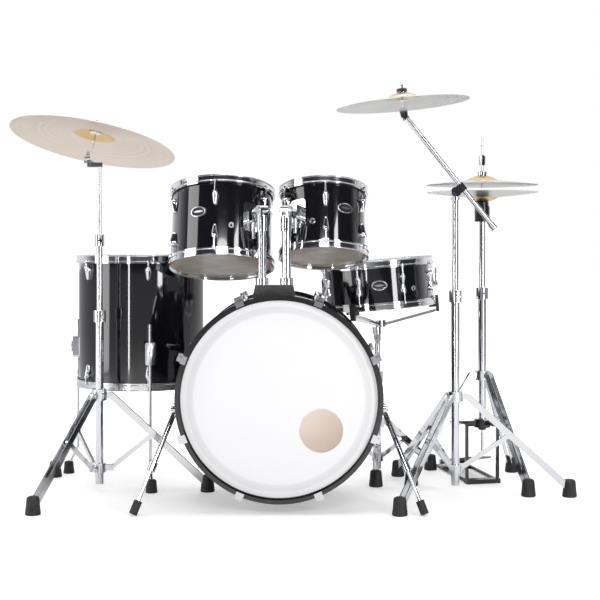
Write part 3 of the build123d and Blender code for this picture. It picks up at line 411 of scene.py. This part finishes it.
def place(origin, axis):
    """A matrix with Z along an axis and X across it, standing at a point."""
    z = Vector(axis).normalized()
    x = Vector((1, 0, 0)) if abs(z.x) < NEARLY_ALONG else Vector((0, 1, 0))
    x = (x - z * x.dot(z)).normalized()
    made = Matrix((x, z.cross(x), z)).transposed().to_4x4()
    made.translation = origin
    return made


class Shape:
    """Faces gathered in the row frame, then made into one named piece that rides on a body."""

    def __init__(self):
        self.points, self.faces, self.marks = [], [], []

    def grid(self, rows, mark=0):
        """Joins rows of points by quads; each row closes on itself."""
        start, count = len(self.points), len(rows[0])
        for row in rows:
            self.points.extend(row)
        for i in range(len(rows) - 1):
            for j in range(count):
                a, b = start + i * count + j, start + i * count + (j + 1) % count
                self.faces.append((a, b, b + count, a + count))
                self.marks.append(mark)

    def cap(self, row, flip=False):
        """Closes a row of points with one face."""
        start = len(self.points)
        self.points.extend(row)
        face = tuple(range(start, start + len(row)))
        self.faces.append(face[::-1] if flip else face)
        self.marks.append(0)

    def lathe(self, profile, at, steps, closed=False):
        """Turns a profile of (radius, height) about the Z axis of a matrix; a closed profile is a ring."""
        turns = [FULL_TURN * k / steps for k in range(steps)]
        rows = []
        for radius, height in (*profile, profile[0]) if closed else profile:
            rows.append([at @ Vector((radius * cos(a), radius * sin(a), height)) for a in turns])
        self.grid(rows)
        if not closed:
            if profile[0][0] > ON_AXIS:
                self.cap(rows[0], flip=True)
            if profile[-1][0] > ON_AXIS:
                self.cap(rows[-1])

    def carry(self, node, group):
        """Takes over the faces of one of a CAD node's solids."""
        mesh = nodes[node].data
        places = {v: len(self.points) + k for k, v in enumerate(group)}
        self.points.extend(mesh.vertices[v].co.copy() for v in group)
        for polygon in mesh.polygons:
            if polygon.vertices[0] in places:
                self.faces.append(tuple(places[v] for v in polygon.vertices))
                self.marks.append(0)

    def make(self, name, body, materials, replaced=(), at=None, sharp=SHARP_ANGLE):
        """Makes the piece, with its own origin and axes if a matrix says so."""
        at = at or Matrix()
        back = at.inverted()
        mesh = bpy.data.meshes.new(name)
        mesh.from_pydata([back @ p for p in self.points], [], self.faces)
        for made in materials:
            mesh.materials.append(made)
        mesh.polygons.foreach_set("material_index", self.marks)
        work = bmesh.new()
        work.from_mesh(mesh)
        bmesh.ops.remove_doubles(work, verts=work.verts[:], dist=WELD)
        bmesh.ops.recalc_face_normals(work, faces=work.faces[:])
        work.to_mesh(mesh)
        work.free()
        mesh.polygons.foreach_set("use_smooth", [True] * len(mesh.polygons))
        mesh.set_sharp_from_angle(angle=radians(sharp))
        piece = bpy.data.objects.new(name, mesh)
        piece.matrix_world = at
        bpy.context.collection.objects.link(piece)
        bpy.context.view_layer.update()
        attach(piece, body)
        if replaced:
            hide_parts(*replaced)


# ---------------------------------------------------------------- materials on the carried-over nodes
def dress(name, *makers):
    """Gives a CAD node its materials; the first one covers it."""
    mesh = nodes[name].data
    mesh.materials.clear()
    for made in makers:
        mesh.materials.append(made)
    mesh.polygons.foreach_set("material_index", [0] * len(mesh.polygons))


def paint(name, index, test):
    """Gives the polygons that pass a test another of the node's materials."""
    for polygon in nodes[name].data.polygons:
        if test(polygon.center, polygon.normal):
            polygon.material_index = index


def from_axis(facts, point):
    """The vector to a point straight out from a drum's axis."""
    away = Vector(point) - facts["top"]
    return away - facts["axis"] * away.dot(facts["axis"])


INWARD = 0.3             # a shell's face is its inner or edge face below this cosine to the way out
HAT_HUB_TOP = 0.205       # the hi-hat's black pedal frame: below this, and this near its rod
HAT_HUB_RADIUS = 0.088
HAT_FEET_TOP = 0.016
HAT_SEAT_FOOT = 0.835     # above this, the hi-hat tube is the black seat
BASKET_GRIPS = 0.166      # farther from the snare's axis, the basket is rubber


def faces_in(facts):
    return lambda centre, normal: normal.dot(from_axis(facts, centre).normalized()) < INWARD


DRUMS = {name: two_heads(name) for name in TOMS_AND_SNARE}
# The bass drum's front film has a hole to one side, so its middle is its box's.
DRUMS["bass"] = drum("bass", middle(coordinates("bass_front_head")), middle(coordinates("bass_batter_head")))
BODIES = {"floor_tom": "kit", "large_tom": "large_tom", "small_tom": "small_tom", "snare": "snare", "bass": "kit"}
for name in nodes:
    dress(name, CHROME)
for name, facts in DRUMS.items():
    dress(f"{name}_shell", WRAP, PLY)
    paint(f"{name}_shell", 1, faces_in(facts))
for name in TOMS_AND_SNARE:
    facts = DRUMS[name]
    dress(f"{name}_heads", HEAD_WHITE, HEAD_CLEAR)
    paint(f"{name}_heads", 1, lambda centre, normal: (centre - facts["half"]).dot(facts["axis"]) < 0)
dress("bass_batter_head", HEAD_WHITE)
dress("bass_front_head", make_bass_head(DRUMS["bass"]["top"]))
dress("bass_hoops", HOOP_BLACK)
dress("hihat_footboard", BLACK_METAL)
# The tom bracket's faces towards the camera get the dark grey: a painted reflection.
dress("tom_bracket", CHROME, GREY_PAINTED_REFLECTION)
paint("tom_bracket", 1, lambda centre, normal: normal.y < -NEARLY_ALONG)
hat_axis = middle(coordinates("hihat_rod"))
dress("hihat_base", CHROME, BLACK_METAL)
paint("hihat_base", 1, lambda centre, normal: centre.z < HAT_FEET_TOP or (
    centre.z < HAT_HUB_TOP and (centre - hat_axis).xy.length < HAT_HUB_RADIUS))
dress("hihat_tube", CHROME, BLACK_METAL)
paint("hihat_tube", 1, lambda centre, normal: centre.z > HAT_SEAT_FOOT)
dress("snare_basket", CHROME, RUBBER)
paint("snare_basket", 1, lambda centre, normal: from_axis(DRUMS["snare"], centre).length > BASKET_GRIPS)


# ---------------------------------------------------------------- lugs and tension rods
LUG_LENGTH = 0.046
LUG_WIDTH = 0.021
LUG_OVER_ROD = 0.0062     # how far a lug stands out past its rod's middle
LUG_ROUND = 0.3           # share of a lug's length in its round end
LUG_NARROWING = 0.52      # share of its width lost towards the narrow end
LUG_TIP = 0.1             # share of its length in the rounded narrow tip
LUG_STATIONS, LUG_ARC = 18, 15
LUG_SUNK = 0.001
DOUBLE_LUG_TOP, DOUBLE_LUG_LENGTH = 0.033, 0.036
DOUBLE_LUG_BRIDGE = (0.012, 0.0052, 0.004)   # half-length, radius and height of the bar between the two
DOUBLE_REACH, DOUBLE_EVEN = 0.05, 0.01       # how far a double's rods reach each way, and how evenly
ROD_RADIUS = 0.0028
ROD_HEAD = 0.007
ROD_START = 0.006         # how far inside its lug a rod starts
SHORTEST_ROD, BASS_SHORTEST_ROD = 0.052, 0.09    # shorter solids of a lugs node are other pieces
WASHER, BASS_WASHER = 0.0062, 0.0048


def lug_outline(s):
    """Half-width of a teardrop lug, from 0 at its round end to 1 at its narrow end."""
    if s < LUG_ROUND:
        return (1 - (1 - s / LUG_ROUND) ** 2) ** 0.5
    taper = 1 - LUG_NARROWING * ((s - LUG_ROUND) / (1 - LUG_ROUND)) ** 1.2
    tip = (s - (1 - LUG_TIP)) / LUG_TIP
    return taper * (1 if tip < 0 else max(0.0, 1 - tip ** 2) ** 0.5)


def add_teardrop(shape, foot, out, up, length, height):
    """A teardrop casting on a shell, its round end up."""
    side = up.cross(out)
    rows = []
    for k in range(LUG_STATIONS):
        s = 0.5 - 0.5 * cos(pi * k / (LUG_STATIONS - 1))
        wide = max(lug_outline(s), 0.02)
        tall = height * (0.34 + 0.66 * wide ** 0.8 * (1 - 0.45 * s)) * min(1, wide * 3)
        row = []
        for j in range(LUG_ARC):
            a = pi * j / (LUG_ARC - 1)
            across = side * (cos(a) * wide * LUG_WIDTH / 2)
            row.append(foot - up * length * s + across + out * (tall * sin(a) ** 0.75 - LUG_SUNK))
        rows.append(row)
    shape.grid(rows)
    shape.cap(rows[0])
    shape.cap(rows[-1], flip=True)


def add_rod(shape, start, end, washer):
    """A tension rod with its collar at the lug and its round head on a washer at the hoop."""
    length = (end - start).length
    ear = length - ROD_HEAD
    collar = [(0.0052, -0.004), (0.0056, 0.0), (0.0052, 0.004), (ROD_RADIUS, 0.0055)]
    head = [(ROD_RADIUS, ear - 0.003), (washer, ear - 0.0022), (washer, ear - 0.0004),
            (0.0043, ear), (0.0046, ear + 0.003), (0.0038, length), (0.0, length)]
    shape.lathe(collar + head, place(start, end - start), steps=14)


def add_lug(shape, facts, points, sign, lug_top, length, washer):
    """One teardrop lug on the shell, with its rod, where a CAD solid has them."""
    along = (points - np.array(facts["half"])) @ np.array(facts["axis"]) * sign
    far = along.max()
    up = facts["axis"] * sign
    away = from_axis(facts, mean_point(points[along > far - ROD_HEAD * 0.7]))
    out = away.normalized()
    foot = facts["half"] + out * facts["shell_radius"]
    rod_foot = facts["half"] + away
    add_teardrop(shape, foot + up * lug_top, out, up, length, away.length - facts["shell_radius"] + LUG_OVER_ROD)
    add_rod(shape, rod_foot + up * (lug_top - ROD_START), rod_foot + up * far, washer)
    return foot, out


def make_lugs(name, washer=WASHER, shortest=SHORTEST_ROD):
    """Teardrop lugs and rods in place of the plain CAD ones; other solids of the node are carried over."""
    facts = DRUMS[name]
    node = f"{name}_lugs"
    shape = Shape()
    points_all = coordinates(node)
    for group in island_groups(node):
        points = points_all[group]
        along = (points - np.array(facts["half"])) @ np.array(facts["axis"])
        low, high = float(along.min()), float(along.max())
        double = low < -DOUBLE_REACH and high > DOUBLE_REACH and abs(high + low) < DOUBLE_EVEN
        if high - low < shortest or (name == "snare" and not double):
            shape.carry(node, group)
        elif double:
            for sign in (1, -1):
                foot, out = add_lug(shape, facts, points, sign, DOUBLE_LUG_TOP, DOUBLE_LUG_LENGTH, washer)
            reach, radius, height = DOUBLE_LUG_BRIDGE
            at = place(foot + out * height, facts["axis"])
            shape.lathe([(radius, -reach), (radius, reach)], at, steps=12)
        else:
            sign = 1 if high + low > 0 else -1
            lug_top = (low if sign > 0 else -high) + LUG_LENGTH
            add_lug(shape, facts, points, sign, lug_top, LUG_LENGTH, washer)
    shape.make(f"{name}_lug_castings", BODIES[name], [CHROME], (node,))


for name in TOMS_AND_SNARE:
    make_lugs(name)
make_lugs("bass", BASS_WASHER, shortest=BASS_SHORTEST_ROD)


# ---------------------------------------------------------------- rolled edges of the metal hoops
HOOP_OUT = 0.0078         # a hoop's outer face from the shell
# past the hoop's rim or its other edge, past its outer face, and half-thickness
RIM_BEAD = (-0.0012, -0.0008, 0.0021)
FOOT_BEAD = (0.0062, 0.0006, 0.0015)


def make_beads(name):
    """A rolled bead round the rim of each hoop and a narrow flange at its other edge."""
    facts = DRUMS[name]
    shape = Shape()
    for points in islands(f"{name}_hoops"):
        along = (points - np.array(facts["half"])) @ np.array(facts["axis"])
        sign = 1 if along.mean() > 0 else -1
        at = place(facts["half"], facts["axis"] * sign)
        edges = ((along * sign).max(), RIM_BEAD), ((along * sign).min(), FOOT_BEAD)
        for edge, (past, out, thick) in edges:
            radius = facts["shell_radius"] + HOOP_OUT + out
            angles = [FULL_TURN * k / 10 for k in range(10)]
            ring = [(radius + thick * cos(a), edge + past + thick * sin(a)) for a in angles]
            shape.lathe(ring, at, steps=120, closed=True)
    shape.make(f"{name}_hoop_beads", BODIES[name], [CHROME])


for name in TOMS_AND_SNARE:
    make_beads(name)


# ---------------------------------------------------------------- cymbals
def cymbal_frame(node):
    """A cymbal's own frame, and its outer radius, hole radius, lowest and highest heights in it."""
    points = coordinates(node)
    unique = np.unique(np.round(points, 5), axis=0)
    centred = unique - unique.mean(axis=0)
    axis = Vector(np.linalg.eigh(centred.T @ centred)[1][:, 0])
    axis = axis if axis.z > 0 else -axis
    at = place(Vector(points.mean(axis=0)), axis)
    back = np.array(at.inverted())
    local = points @ back[:3, :3].T + back[:3, 3]
    radius = np.hypot(local[:, 0], local[:, 1])
    return at, float(radius.max()), float(radius.min()), float(local[:, 2].min()), float(local[:, 2].max())


BELL_POINTS, BOW_POINTS = 15, 40
BELL_SHOULDER = 0.85      # below 1, the bell is fuller than a cosine dome
THICKNESS, THINNING = 0.0014, 0.0006
SEAT = 0.0012             # the bow ends this much above the CAD cymbal's lowest edge


def make_cymbal(node, body, color, bell, bell_radius, bell_height, steep, rough, up):
    """A lathed cymbal in place of the CAD one: a bow that steepens to its thin edge, and a raised bell."""
    at, radius, inner, lowest, highest = cymbal_frame(node)
    top, bottom = (highest, lowest) if up > 0 else (-lowest, -highest)
    rim = top - bell_height
    reach = radius - bell_radius
    curl = (rim - bottom - SEAT - steep * reach) / reach ** 2
    line = []
    for k in range(BELL_POINTS):
        t = k / (BELL_POINTS - 1)
        dome = cos(t * pi / 2) ** BELL_SHOULDER if t < 1 else 0.0
        line.append((inner + (bell_radius - inner) * t, rim + bell_height * dome))
    for k in range(1, BOW_POINTS + 1):
        d = reach * k / BOW_POINTS
        line.append((bell_radius + d, rim - steep * d - curl * d * d))
    under = []
    for k, (r, z) in enumerate(line):
        under.append((r, z - THICKNESS + THINNING * k / (len(line) - 1)))
    edge = (line[-1][0] + 0.0002, line[-1][1] - 0.0004)
    shape = Shape()
    shape.lathe([(r, z * up) for r, z in (*line, edge, *reversed(under))], at, steps=160, closed=True)
    made = make_bronze(f"bronze_{node}", color, bell, bell_radius, rough)
    shape.make(f"{node}_lathed", body, [made], (node,), at=at, sharp=50)
    return at, top


FELT_HOLE = 0.0045
FELT_EDGE = 0.0015        # the rounding of a felt's rim
FELT_BULGE = 0.0006


def add_felt(shape, at, low_z, high_z, radius):
    """A felt washer with rounded edges and a bulging side."""
    flat = radius - FELT_EDGE
    profile = [(FELT_HOLE, low_z), (flat, low_z), (radius, low_z + FELT_EDGE),
               (radius + FELT_BULGE, (low_z + high_z) / 2),
               (radius, high_z - FELT_EDGE), (flat, high_z), (FELT_HOLE, high_z)]
    shape.lathe(profile, at, steps=32, closed=True)


PALE = (0.78, 0.77, 0.74)
GOLD = (0.74, 0.55, 0.28)
# node: body, bow's colour, bell's colour, bell's radius and height, steepness, roughness, way up
CYMBALS = {
    "ride_cymbal": ("ride", (0.76, 0.67, 0.585), GOLD, 0.064, 0.0204, 0.070, 0.34, 1),
    "crash_cymbal": ("crash", PALE, (0.62, 0.55, 0.44), 0.052, 0.0183, 0.080, 0.28, 1),
    "hihat_upper_cymbal": ("hihat_pull", PALE, GOLD, 0.052, 0.0161, 0.080, 0.28, 1),
    "hihat_lower_cymbal": ("hihat_upper", PALE, GOLD, 0.052, 0.0161, 0.080, 0.28, -1),
}
placed = {node: make_cymbal(node, *facts) for node, facts in CYMBALS.items()}


# ---------------------------------------------------------------- rubber feet
ON_FLOOR = 0.0015         # vertices below this height stand on the floor
SAME_FOOT = 0.06
FOOT_SPAN = (1.7, 2.3)    # a foot's span, in radii
# share of a boot's radius and of its height: ribs at the foot, a taper and a domed shoulder
BOOT_OUTLINE = ((0, 0), (1.14, 0), (1.24, 0.06), (1.24, 0.15), (1.17, 0.19), (1.2, 0.23), (1.19, 0.31),
                (1.13, 0.35), (1.15, 0.39), (1.09, 0.62), (1.04, 0.9), (1.0, 1.03), (0.86, 1.1),
                (0.55, 1.15), (0, 1.16))
STAND_BOOT, LEG_BOOT = (0.018, 0.046), (0.015, 0.036)      # radius and height
BOOTS = {
    "boom_stand_base": ("kit", STAND_BOOT),
    "hihat_base": ("kit", STAND_BOOT),
    "snare_stand_base": ("kit", STAND_BOOT),
    **{f"ride_leg_{k}": (f"ride_tripod_leg_{k}", STAND_BOOT) for k in (1, 2, 3)},
    **{f"floor_tom_leg_{k}": (f"floor_leg_{k}", LEG_BOOT) for k in (1, 2, 3)},
}


def foot_places(name, radius):
    """The middles of a node's round feet on the floor."""
    points = coordinates(name)
    found = []
    for point in points[points[:, 2] < ON_FLOOR]:
        for group in found:
            if np.hypot(*(point[:2] - group[0][:2])) < SAME_FOOT:
                group.append(point)
                break
        else:
            found.append([point])
    narrow, wide = (share * radius for share in FOOT_SPAN)
    feet = [np.array(group) for group in found]
    spans = [np.ptp(foot[:, :2], axis=0) for foot in feet]
    return [middle(foot) for foot, span in zip(feet, spans) if min(span) > narrow and max(span) < wide]


def make_boots(name, body, radius, height):
    shape = Shape()
    profile = [(radius * r, height * z) for r, z in BOOT_OUTLINE]
    for foot in foot_places(name, radius):
        shape.lathe(profile, Matrix.Translation((foot.x, foot.y, 0)), steps=28)
    shape.make(f"{name}_boots", body, [RUBBER])


for name, (body, boot) in BOOTS.items():
    make_boots(name, body, *boot)


# ---------------------------------------------------------------- spur tips, badges, vents and felts
TIP_TOP = 0.03            # a spur's tip is below this height, its knee above the next
KNEE_FOOT = 0.25
RUBBER_TIP = 0.037        # length of the rubber on a spur's tip


for side in ("left", "right"):
    name = f"spur_{side}"
    points = coordinates(name)
    end = points[points[:, 2] < TIP_TOP]
    tip = mean_point(end)
    run = (mean_point(points[points[:, 2] > KNEE_FOOT]) - tip).normalized()
    start = tip + run * float(((end - np.array(tip)) @ np.array(run)).min())
    dress(name, CHROME, RUBBER)
    paint(name, 1, lambda centre, normal: (centre - start).dot(run) < RUBBER_TIP)


BADGE_WIDTH, BADGE_HEIGHT = 0.052, 0.033
# share of the badge's size, height over the shell: the bright rim, then the dark centre
BADGE_RINGS = ((1.0, 0.0), (0.97, 0.0016), (0.86, 0.0018), (0.8, 0.0011), (0.0, 0.0011))
BAR_WIDTH, BAR_HEIGHT = 0.58, 0.2        # shares of the badge's size
BAR_LIFTS = (0.0011, 0.0019)
VENT = ((0.0035, 0.0), (0.0085, 0.0), (0.0085, 0.0008), (0.0074, 0.0018), (0.0045, 0.0018), (0.0035, 0.0008))
VENT_SHARE = 0.36
# drum: the badge's angle from the audience side and share of the shell's height, the vent's angle
BADGES = {"large_tom": (-24, 0.56, 14), "small_tom": (30, 0.58, -16), "snare": (-2, 0.5, 36)}


def surface_at(facts, angle, share):
    """A point on a shell's face at an angle from the audience side, and the way out from it."""
    level = facts["bottom"].lerp(facts["top"], share)
    front = Vector((0, -1, 0))
    front = (front - facts["axis"] * front.dot(facts["axis"])).normalized()
    out = Matrix.Rotation(radians(angle), 3, facts["axis"]) @ front
    return level + out * facts["shell_radius"], out


def oval_row(facts, angle, share, size, lift, count):
    """An oval that follows the shell, at a height over it."""
    row = []
    for k in range(count):
        a = FULL_TURN * k / count
        turn = angle + degrees(size[0] / 2 * cos(a) / facts["shell_radius"])
        point, out = surface_at(facts, turn, share)
        row.append(point + facts["axis"] * (size[1] / 2 * sin(a)) + out * lift)
    return row


def make_badge_and_vent(name, angle, share, vent_angle):
    """A plain oval plate, a bright rim round a dark centre with a bright bar, and a small vent ring."""
    facts = DRUMS[name]
    shape = Shape()
    rows = []
    for ring, lift in BADGE_RINGS:
        rows.append(oval_row(facts, angle, share, (ring * BADGE_WIDTH, ring * BADGE_HEIGHT), lift, 48))
    shape.grid(rows[:4])
    shape.grid(rows[3:], mark=1)
    bar_size = BAR_WIDTH * BADGE_WIDTH, BAR_HEIGHT * BADGE_HEIGHT
    bar = [oval_row(facts, angle, share, bar_size, lift, 24) for lift in BAR_LIFTS]
    shape.grid(bar)
    shape.cap(bar[-1])
    shape.lathe(VENT, place(*surface_at(facts, vent_angle, VENT_SHARE)), steps=24, closed=True)
    shape.make(f"{name}_badge_and_vent", BODIES[name], [BADGE, BADGE_DARK])


for name, facts in BADGES.items():
    make_badge_and_vent(name, *facts)


FELT_TALL = 0.011
FELT_UNDER, FELT_OVER = 0.0178, 0.0158       # radii of the felts under and over a cymbal
FELT_GAPS = (0.0006, 0.0004)                 # between a cymbal and the felt under it, and over it


def make_felts(node, body):
    """Felt washers above and under a cymbal, over the CAD ones."""
    at, top = placed[node]
    under, over = top - THICKNESS - FELT_GAPS[0], top + FELT_GAPS[1]
    shape = Shape()
    add_felt(shape, at, under - FELT_TALL, under, FELT_UNDER)
    add_felt(shape, at, over, over + FELT_TALL, FELT_OVER)
    shape.make(f"{node}_felts", body, [FELT])


make_felts("ride_cymbal", "ride_head")
make_felts("crash_cymbal", "crash_head")


# ---------------------------------------------------------------- floor and end
FLOOR_REACH = 30


def make_stage():
    mesh = bpy.data.meshes.new("studio_floor")
    corners = [(x * FLOOR_REACH, y * FLOOR_REACH, 0) for x, y in ((-1, -1), (1, -1), (1, 1), (-1, 1))]
    mesh.from_pydata(corners, [], [(0, 1, 2, 3)])
    floor = bpy.data.objects.new("studio_floor", mesh)
    bpy.context.collection.objects.link(floor)
    mesh.materials.append(make_glowing_floor())


make_stage()
